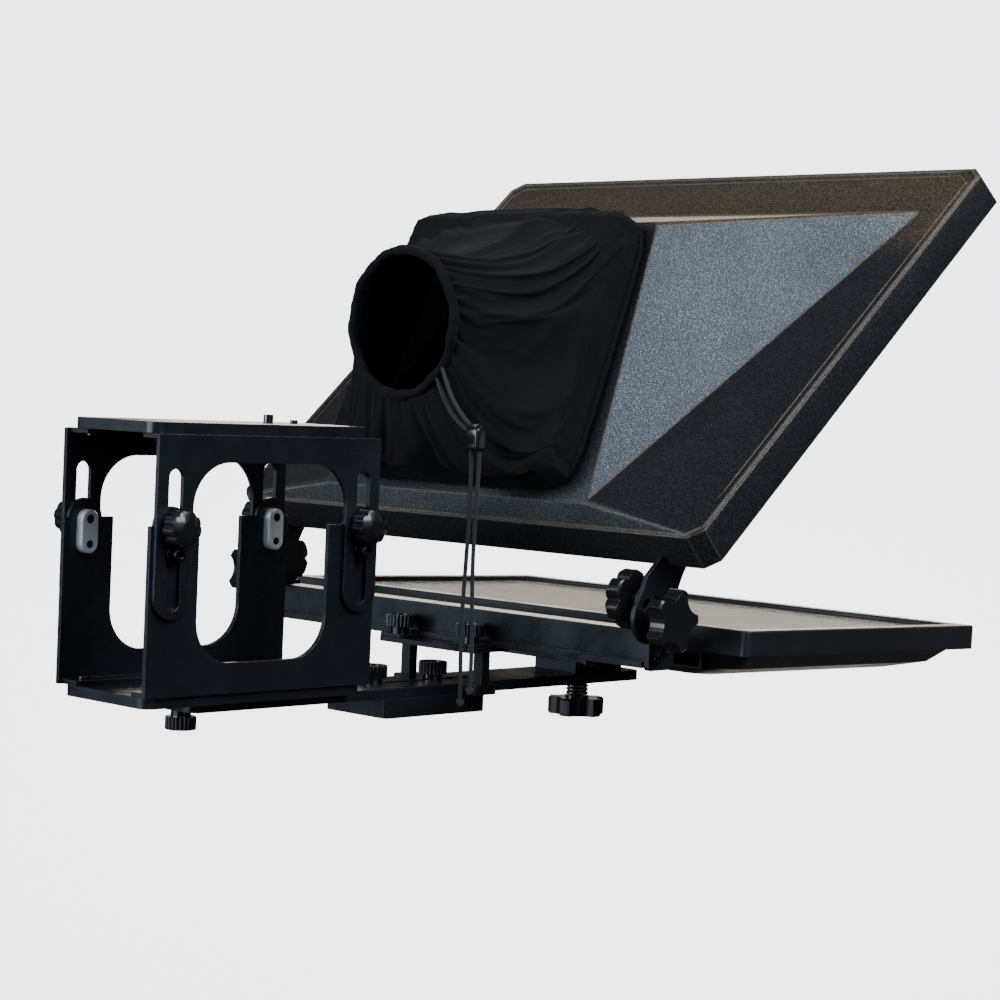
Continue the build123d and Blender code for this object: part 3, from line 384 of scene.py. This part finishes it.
def tube(name, slot, path, radius, sides, closed=True, hint=Vector((0, 0, 1))):
    """A swept tube; radius, in metres, may be a function of the point's index.

    hint sets where each section starts and must not lie along the first stretch.
    """
    count = len(path)
    tangents = []
    for i in range(count):
        before = path[(i - 1) % count] if closed or i > 0 else path[i]
        after = path[(i + 1) % count] if closed or i < count - 1 else path[i]
        tangents.append((after - before).normalized())
    up = (hint - tangents[0] * hint.dot(tangents[0])).normalized()
    verts, uvs = [], []
    run = 0.0
    for i, (point, tangent) in enumerate(zip(path, tangents)):
        up = (up - tangent * up.dot(tangent)).normalized()
        side = tangent.cross(up)
        r = radius(i) if callable(radius) else radius
        if i:
            run += (point - path[i - 1]).length
        for k, angle in enumerate(turn(sides)):
            verts.append(point + up * math.cos(angle) * r + side * math.sin(angle) * r)
            uvs.append((run, k / sides * 2 * math.pi * r))
    faces = []
    for i in range(count if closed else count - 1):
        j = (i + 1) % count
        for k in range(sides):
            m = (k + 1) % sides
            faces.append((i * sides + k, i * sides + m, j * sides + m, j * sides + k))
    if not closed:
        faces.append(tuple(reversed(range(sides))))
        faces.append(tuple((count - 1) * sides + k for k in range(sides)))
    return finish(mesh_object(name, verts, faces, uvs), slot)


# ---------------------------------------------------------------------------
# Hood planes
# ---------------------------------------------------------------------------
# Rim plane: rises from its low edge towards +Y.
RIM_TILT = math.radians(41.7)
RIM_COS, RIM_SIN = math.cos(RIM_TILT), math.sin(RIM_TILT)
RIM_LENGTH, RIM_DEPTH = 397.0, 25.0
RIM_LOW_Y, RIM_LOW_Z = 45.0, 114.0
RIM_HALF_LOW, RIM_HALF_HIGH = 229.0, 235.0

# Plate that carries the collar, from its foot to its top.
PLATE_TOP_Y, PLATE_TOP_Z = 113.0, 343.0
PLATE_FOOT_Y, PLATE_FOOT_Z = 30.0, 150.0
PLATE_LENGTH = math.hypot(PLATE_TOP_Y - PLATE_FOOT_Y, PLATE_TOP_Z - PLATE_FOOT_Z)
PLATE_COS = (PLATE_TOP_Y - PLATE_FOOT_Y) / PLATE_LENGTH
PLATE_SIN = (PLATE_TOP_Z - PLATE_FOOT_Z) / PLATE_LENGTH

COLLAR_DEPTH = 27.0
COLLAR_HALF_TOP, COLLAR_HALF_FOOT = 98.0, 107.0
COLLAR_LOW, COLLAR_HIGH = 14.0, PLATE_LENGTH - 8.0
COLLAR_MID = (COLLAR_HIGH + COLLAR_LOW) / 2
COLLAR_HALF_HEIGHT = (COLLAR_HIGH - COLLAR_LOW) / 2


def rim_point(x, along, out):
    """A point by its distance up the rim plane and out from it."""
    return Vector((x, RIM_LOW_Y + RIM_COS * along - RIM_SIN * out,
                   RIM_LOW_Z + RIM_SIN * along + RIM_COS * out)) * MM


def plate_point(x, along, out):
    """A point by its distance up the plate and out from it, towards -Y."""
    return Vector((x, PLATE_FOOT_Y + PLATE_COS * along - PLATE_SIN * out,
                   PLATE_FOOT_Z + PLATE_SIN * along + PLATE_COS * out)) * MM


# ---------------------------------------------------------------------------
# Formed hood: the shell with rounded edges, and the two beads of its flange
# ---------------------------------------------------------------------------
def make_hood():
    mesh = PIECES["hood_shell"].data.copy()
    hood = link_object("hood_formed", mesh)
    bm = bmesh.new()
    bm.from_mesh(mesh)
    bmesh.ops.remove_doubles(bm, verts=bm.verts, dist=1e-5)
    bmesh.ops.dissolve_limit(bm, angle_limit=math.radians(0.6), verts=bm.verts, edges=bm.edges)
    bmesh.ops.recalc_face_normals(bm, faces=bm.faces)
    bm.to_mesh(mesh)
    bm.free()
    rounding = hood.modifiers.new("round", "BEVEL")
    rounding.width = 0.0015
    rounding.segments = 3
    rounding.limit_method = "ANGLE"
    rounding.angle_limit = math.radians(14)
    rounding.harden_normals = True
    finish(hood, "hood_abs")
    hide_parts("hood_shell")


def bead(name, end_inset, side_inset, out, radius):
    """A ridge round the flange, inset from its edges, with cut corners."""
    corner, spacing = 9.0, 0.012
    x_high, x_low = RIM_HALF_HIGH - side_inset, RIM_HALF_LOW - side_inset
    high, low = RIM_LENGTH - end_inset, end_inset
    outline = [
        (x_high, high - corner), (x_high - corner, high),
        (-(x_high - corner), high), (-x_high, high - corner),
        (-x_low, low + corner), (-(x_low - corner), low),
        (x_low - corner, low), (x_low, low + corner),
    ]
    points = [rim_point(x, along, out) for x, along in outline]
    path = []
    for start, end in zip(points, points[1:] + points[:1]):
        steps = max(2, int((end - start).length / spacing))
        path += [start.lerp(end, j / steps) for j in range(steps)]
    tube(name, "hood_abs", path, radius * MM, sides=12)


make_hood()
bead("hood_flange_ridge", end_inset=4.6, side_inset=5.6, out=RIM_DEPTH - 0.5, radius=1.7)
bead("hood_flange_line", end_inset=10.5, side_inset=11.5, out=RIM_DEPTH - 0.9, radius=1.25)


# ---------------------------------------------------------------------------
# Cloth shroud: a sleeve from the collar to the round opening
# ---------------------------------------------------------------------------
OPENING_RADIUS, OPENING_Y, OPENING_Z = 47.0, -22.0, 266.0
SHROUD_AROUND, SHROUD_RINGS = 260, 64
SHROUD_UV = (0.9, 0.22)
HEM_GAP, SHOULDER_GAP = 6.6, 5.6  # between the collar's faces and the sleeve
CLEAR_GAP = 3.4                   # least gap after draping
SAG = 7.0

# Sleeve sections: centre along the plate, distance out from it, half width at the top and
# at the foot, half height, squareness (2 is an ellipse).
SECTIONS = [
    (COLLAR_MID, 5.0, COLLAR_HALF_TOP + HEM_GAP, COLLAR_HALF_FOOT + HEM_GAP,
     COLLAR_HALF_HEIGHT + HEM_GAP, 9.0),
    (COLLAR_MID, 16.0, COLLAR_HALF_TOP + HEM_GAP, COLLAR_HALF_FOOT + HEM_GAP,
     COLLAR_HALF_HEIGHT + HEM_GAP, 8.5),
    (COLLAR_MID, COLLAR_DEPTH + 3.0, COLLAR_HALF_TOP + SHOULDER_GAP,
     COLLAR_HALF_FOOT + SHOULDER_GAP, COLLAR_HALF_HEIGHT + SHOULDER_GAP, 7.0),
    (COLLAR_MID - 5.0, 46.0, 90, 96, COLLAR_HALF_HEIGHT + 1, 4.0),
    (COLLAR_MID - 8.0, 61.0, 73, 77, COLLAR_HALF_HEIGHT - 18, 3.0),
]


def signed_power(value, power):
    return math.copysign(abs(value) ** power, value)


def sleeve_point(section, angle):
    along, out, half_top, half_foot, half_height, squareness = section
    across = signed_power(math.cos(angle), 2 / squareness)
    rise = signed_power(math.sin(angle), 2 / squareness)
    half = half_foot + (half_top - half_foot) * (rise + 1) / 2
    return plate_point(half * across, along + half_height * rise, out)


def opening_point(gap, angle, dy=0.0):
    """A point round the opening: gap outside its radius and moved by dy."""
    radius = OPENING_RADIUS + gap
    return Vector((radius * math.cos(angle), OPENING_Y + dy,
                   OPENING_Z + radius * math.sin(angle))) * MM


def catmull(points, t):
    """A Catmull-Rom curve through the points; t runs from 0 to 1."""
    last = len(points) - 1
    i = min(int(t * last), last - 1)
    f = t * last - i
    p0, p1 = points[max(i - 1, 0)], points[i]
    p2, p3 = points[i + 1], points[min(i + 2, last)]
    return 0.5 * ((2 * p1) + (p2 - p0) * f + (2 * p0 - 5 * p1 + 4 * p2 - p3) * f * f
                  + (3 * p1 - p0 - 3 * p2 + p3) * f ** 3)


def ridge(x):
    """A fold profile in -1..1, sharp at its crests."""
    return 1.0 - 2.0 * abs(math.sin(x / 2)) ** 0.75


def bell(x, centre, width):
    return math.exp(-((x - centre) / width) ** 2)


def slack(t):
    """How freely the cloth hangs: none on the collar or at the opening."""
    return math.sin(math.pi * min(1.0, max(0.0, (t - 0.30) / 0.70))) ** 0.8


# Folds: where they act along t, then waves as (mm, profile, cycles round, twist, phase).
FOLDS = [
    # long folds that run out from the opening, drifting round as they go
    (slack, [(3.6, ridge, 7, 2.6, 0.5), (2.4, ridge, 13, -3.8, 1.9), (1.4, ridge, 23, 6.0, 0)]),
    # fine gathers at the drawn opening
    (lambda t: bell(t, 1.0, 0.16), [(1.9, ridge, 34, 0, 1.2), (0.8, math.sin, 61, 0, 0)]),
    # fine gathers at the hem
    (lambda t: bell(t, 0.0, 0.05), [(0.8, math.sin, 58, 0, 0), (0.5, math.sin, 91, 0, 1.0)]),
    # soft creases over the collar's shoulder
    (lambda t: bell(t, 0.42, 0.14), [(1.5, ridge, 11, 5, 2.0), (0.8, math.sin, 29, 0, 0)]),
]


def make_shroud():
    angles = turn(SHROUD_AROUND)
    columns = [[sleeve_point(section, a) for section in SECTIONS] + [opening_point(2.0, a)]
               for a in angles]
    verts, uvs = [], []
    for i in range(SHROUD_RINGS):
        t = i / (SHROUD_RINGS - 1)
        ring = [catmull(column, t) for column in columns]
        centre = sum(ring, Vector()) / SHROUD_AROUND
        folds = [(where(t), waves) for where, waves in FOLDS]
        for k, (a, point) in enumerate(zip(angles, ring)):
            offset = 0.0
            for weight, waves in folds:
                offset += weight * sum(size * profile(cycles * a + twist * t + phase)
                                       for size, profile, cycles, twist, phase in waves)
            # a faint ripple all over
            offset += 0.35 * math.sin(17 * a + 21 * t) * math.sin(9 * a - 13 * t)
            sag = slack(t) * max(0.0, -math.sin(a)) ** 1.5 * SAG
            out = (point - centre).normalized()
            verts.append(point + out * (offset * MM) + Vector((0, 0, -sag * MM)))
            uvs.append((k / SHROUD_AROUND * SHROUD_UV[0], t * SHROUD_UV[1]))
    faces = []
    for i in range(SHROUD_RINGS - 1):
        row, above = i * SHROUD_AROUND, (i + 1) * SHROUD_AROUND
        for k in range(SHROUD_AROUND):
            j = (k + 1) % SHROUD_AROUND
            faces.append((row + k, row + j, above + j, above + k))
    shroud = mesh_object("shroud_cloth", verts, faces, uvs)
    bm = bmesh.new()
    bm.from_mesh(shroud.data)
    bmesh.ops.recalc_face_normals(bm, faces=bm.faces)
    bm.to_mesh(shroud.data)
    bm.free()
    return shroud


def drape(shroud):
    """Lets the sleeve fall between its held edges: a short cloth run with spare cloth."""
    held_below, held_above = 0.36, 0.97  # shares of the way from hem to opening
    last_frame = 22
    most_move = 0.012                    # metres
    rest = [v.co.copy() for v in shroud.data.vertices]
    group = shroud.vertex_groups.new(name="held")
    for i in range(SHROUD_RINGS):
        t = i / (SHROUD_RINGS - 1)
        if t < held_below or t > held_above:
            group.add(list(range(i * SHROUD_AROUND, (i + 1) * SHROUD_AROUND)), 1.0, "REPLACE")
    modifier = shroud.modifiers.new("drape", "CLOTH")
    settings = modifier.settings
    settings.quality = 5
    settings.mass = 0.18
    settings.tension_stiffness = 18
    settings.compression_stiffness = 8
    settings.shear_stiffness = 4
    settings.bending_stiffness = 0.35
    settings.air_damping = 2.0
    settings.vertex_group_mass = "held"
    settings.shrink_min = -0.045
    modifier.collision_settings.use_collision = False
    modifier.collision_settings.use_self_collision = False
    modifier.point_cache.frame_start = 1
    modifier.point_cache.frame_end = last_frame
    scene = bpy.context.scene
    scene.frame_start, scene.frame_end = 1, last_frame
    for number in range(1, last_frame + 1):
        scene.frame_set(number)
    evaluated = shroud.evaluated_get(bpy.context.evaluated_depsgraph_get())
    moved = [v.co.copy() for v in evaluated.data.vertices]
    shroud.modifiers.remove(modifier)
    scene.frame_set(1)
    for vertex, start, end in zip(shroud.data.vertices, rest, moved):
        move = end - start
        if move.length > most_move:
            move = move * (most_move / move.length)
        vertex.co = start + move
    shroud.data.update()


def clear_collar(shroud, gap):
    """Pushes every point inside the collar's clearance out of the nearest side."""
    low, high, outer = COLLAR_LOW - gap, COLLAR_HIGH + gap, COLLAR_DEPTH + gap
    for vertex in shroud.data.vertices:
        x = vertex.co.x / MM
        y = vertex.co.y / MM - PLATE_FOOT_Y
        z = vertex.co.z / MM - PLATE_FOOT_Z
        along = y * PLATE_COS + z * PLATE_SIN
        out = z * PLATE_COS - y * PLATE_SIN
        share = min(1.0, max(0.0, (along - COLLAR_LOW) / (COLLAR_HIGH - COLLAR_LOW)))
        half = COLLAR_HALF_FOOT + (COLLAR_HALF_TOP - COLLAR_HALF_FOOT) * share + gap
        depths = {"out": outer - out, "x": half - abs(x), "low": along - low,
                  "high": high - along}
        if min(depths.values()) <= 0:
            continue
        nearest = min(depths, key=depths.get)
        if nearest == "out":
            out = outer
        elif nearest == "x":
            x = math.copysign(half, x)
        elif nearest == "low":
            along = low
        else:
            along = high
        vertex.co = plate_point(x, along, out)
    shroud.data.update()


def hem_radius(i):
    return (2.2 + 0.16 * math.sin(i * 1.15) + 0.14 * math.sin(i * 0.43 + 1)
            + 0.08 * math.sin(i * 2.7)) * MM


def casing_radius(i):
    return (3.2 + 0.26 * math.sin(i * 0.57) + 0.20 * math.sin(i * 0.233 + 1.1)
            + 0.12 * math.sin(i * 1.31 + 0.4)) * MM


shroud = make_shroud()
drape(shroud)
clear_collar(shroud, CLEAR_GAP)
thickness = shroud.modifiers.new("thickness", "SOLIDIFY")
thickness.thickness = 0.0010
thickness.offset = -1
smooth = shroud.modifiers.new("smooth", "SUBSURF")
smooth.levels = 1
smooth.render_levels = 1
finish(shroud, "cloth")
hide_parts("shroud")

tube("shroud_hem", "cloth", [sleeve_point(SECTIONS[0], a) for a in turn(320)],
     hem_radius, sides=12)
# the casing goes twice round the opening, waving in Y
tube("shroud_casing", "cloth",
     [opening_point(2.4, a, dy=0.8 * math.sin(9 * a)) for a in turn(220, turns=2)],
     casing_radius, sides=14)


# ---------------------------------------------------------------------------
# Drawcord: two leads from the opening to a cord lock, and two hanging tails
# ---------------------------------------------------------------------------
TAIL_TOP = 186.0
# letter, x, y, z of the lower end, phase of the sway
TAILS = [("a", 75.0, -26.0, 14.0, 0.4), ("b", 80.0, -23.0, 22.0, 2.1)]
LOCK_X = (TAILS[0][1] + TAILS[1][1]) / 2
LOCK_Y = (TAILS[0][2] + TAILS[1][2]) / 2
LOCK_Z = 190.0


def cord(name, path):
    return tube(name, "cord", path, 1.4 * MM, sides=8, closed=False, hint=Vector((0, 1, 0)))


def tail(name, x, y, bottom, phase, steps=90):
    path = []
    for i in range(steps + 1):
        f = i / steps
        sway = math.sin(math.pi * f) ** 0.6
        path.append(Vector((x + sway * 1.1 * math.sin(5.2 * f + phase),
                            y + sway * 1.0 * math.cos(4.1 * f + phase),
                            TAIL_TOP + (bottom - TAIL_TOP) * f)) * MM)
    return cord(name, path)


def block(name, centre, size, bevel):
    """A box with rounded edges."""
    bm = bmesh.new()
    bmesh.ops.create_cube(bm, size=1.0)
    for v in bm.verts:
        v.co = Vector([c * s for c, s in zip(v.co, size)]) * MM + Vector(centre) * MM
    bmesh.ops.bevel(bm, geom=bm.edges[:], offset=bevel * MM, segments=4, profile=0.6,
                    affect="EDGES")
    mesh = bpy.data.meshes.new(name)
    bm.to_mesh(mesh)
    bm.free()
    finish(link_object(name, mesh), "knob_plastic")


def knot(name, x, y, z):
    """A small saddle-shaped loop."""
    path = [Vector((x + 1.5 * math.cos(a), y + 1.5 * math.sin(a), z + 1.3 * math.sin(2 * a))) * MM
            for a in turn(24)]
    tube(name, "cord", path, 1.3 * MM, sides=8)


def lead(name, angle, end, sag, steps=40):
    """One run of the cord from the casing to the lock."""
    bow = 2.6
    start, end = opening_point(3.2, angle, dy=-0.6), Vector(end) * MM
    path = []
    for i in range(steps + 1):
        swell = math.sin(math.pi * i / steps)
        path.append(start.lerp(end, i / steps) + Vector((0.0, -bow * swell, -sag * swell)) * MM)
    cord(name, path)


tails = [tail(f"drawcord_tail_{letter}", *place) for letter, *place in TAILS]
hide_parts("drawcord")
block("cord_lock_body", (LOCK_X, LOCK_Y, LOCK_Z), size=(12.0, 10.0, 15.0), bevel=2.6)
block("cord_lock_button", (LOCK_X, LOCK_Y, LOCK_Z + 8.6), size=(8.0, 7.0, 3.4), bevel=1.3)
for letter, x, y, bottom, _ in TAILS:
    knot(f"cord_knot_{letter}", x, y, bottom + 1.0)
lead("drawcord_lead_a", angle=-0.62, end=(75.5, -25.5, 197.0), sag=3.0)
lead("drawcord_lead_b", angle=-0.78, end=(74.0, -24.0, 193.0), sag=5.0)


# ---------------------------------------------------------------------------
# Stage, in metres: pale floor that sweeps up behind, soft lights, world, camera
# ---------------------------------------------------------------------------
AZIMUTH, PITCH, ROLL = math.radians(44.2), math.radians(2.5), math.radians(2.5)
VIEW_RIGHT = Vector((math.cos(AZIMUTH), math.sin(AZIMUTH), 0))


def stage_floor():
    floor_z, near, half_width, sweep, wall_top = -0.55, -6.0, 7.0, 1.6, 6.0
    away = Vector((-math.sin(AZIMUTH), math.cos(AZIMUTH), 0))
    arc = [math.pi / 2 * i / 24 for i in range(25)]
    # distance away from the camera, height
    profile = [(near, floor_z)]
    profile += [(sweep + sweep * math.sin(a), floor_z + sweep - sweep * math.cos(a)) for a in arc]
    profile.append((2 * sweep, wall_top))
    verts = [away * distance + VIEW_RIGHT * side + Vector((0, 0, z))
             for distance, z in profile for side in (-half_width, half_width)]
    faces = [(2 * i, 2 * i + 1, 2 * i + 3, 2 * i + 2) for i in range(len(profile) - 1)]
    floor = mesh_object("studio_floor", verts, faces)
    m = Material("studio_pale")
    drift = m.noise(scale=3.0, detail=3, rough=0.5)
    m.set(Base_Color=m.mix(drift, grey(0.90), (0.93, 0.93, 0.925)), Roughness=0.9,
          Emission_Color=grey(1.0), Emission_Strength=3.2)
    floor.data.materials.append(MATERIALS["studio_pale"])
    floor.visible_glossy = False
    floor.visible_diffuse = False
    for face in floor.data.polygons:
        face.use_smooth = True


def area(name, place, target, size, energy, color):
    data = bpy.data.lights.new(name, "AREA")
    data.shape = "RECTANGLE"
    data.size, data.size_y = size
    data.energy = energy
    data.color = color
    light = link_object(name, data)
    light.location = place
    aim = Vector(target) - Vector(place)
    light.rotation_euler = aim.to_track_quat("-Z", "Y").to_euler()
    light.visible_camera = False


def make_world():
    """White to the camera; to all else a dim room with three soft glows."""
    world = bpy.data.worlds.new("studio")
    bpy.context.scene.world = world
    world.use_nodes = True
    w = Tree(world.node_tree, "Generated")

    def lobe(direction, span):
        facing = w.dot(w.coords, Vector(direction).normalized())
        return w.ramp(facing, span, interpolation_type="SMOOTHSTEP")

    room = w.mix(lobe((0, 0, 1), span=(-0.35, 0.5)), (0.030, 0.030, 0.032), (0.045, 0.045, 0.048))
    # direction, span of its cosine, colour: warm beyond the hood, cool at +X and at -Y
    for direction, span, colour in (
        ((-0.634, 0.76, 0.14), (0.70, 0.98), (0.42, 0.375, 0.320)),
        ((0.82, -0.09, 0.56), (0.72, 0.98), (0.55, 0.66, 0.82)),
        ((-0.3, -0.95, 0.1), (0.75, 0.98), (0.62, 0.74, 0.90)),
    ):
        room = w.mix(lobe(direction, span), room, colour)
    camera_ray = w.add("ShaderNodeLightPath").outputs["Is Camera Ray"]
    background = w.tree.nodes["Background"].inputs
    w.feed(background["Color"], w.mix(camera_ray, room, grey(4.0)))
    background["Strength"].default_value = 1.0


def make_camera():
    forward = Vector((-math.sin(AZIMUTH) * math.cos(PITCH),
                      math.cos(AZIMUTH) * math.cos(PITCH), -math.sin(PITCH)))
    up = VIEW_RIGHT.cross(forward)
    rolled_right = VIEW_RIGHT * math.cos(ROLL) + up * math.sin(ROLL)
    rolled_up = up * math.cos(ROLL) - VIEW_RIGHT * math.sin(ROLL)
    data = bpy.data.cameras.new("camera")
    data.sensor_width = 36.0
    data.lens = 92.628
    data.clip_start, data.clip_end = 0.05, 50.0
    camera = link_object("camera", data)
    matrix = Matrix((rolled_right, rolled_up, -forward)).transposed().to_4x4()
    matrix.translation = Vector((1.2735, -1.2289, 0.2246))
    camera.matrix_world = matrix
    bpy.context.scene.camera = camera


stage_floor()
area("window_cool", place=(1.80, -0.05, 1.42), target=(0.14, 0.14, 0.26), size=(1.15, 1.15),
     energy=34.0, color=(0.74, 0.87, 1.0))
area("front_cool", place=(-0.7, -2.3, 0.75), target=(0, -0.1, 0.15), size=(2.2, 1.7),
     energy=62.0, color=(0.80, 0.90, 1.0))
area("top_warm", place=(0.9, 0.9, 2.1), target=(0.0, 0.1, 0.2), size=(1.2, 1.2),
     energy=17.0, color=(1.0, 0.90, 0.78))
area("back_warm", place=(-1.7, 2.1, 0.9), target=(0.0, 0.2, 0.2), size=(1.6, 0.9),
     energy=20.0, color=(1.0, 0.90, 0.76))
make_world()
make_camera()

bpy.context.view_layer.update()
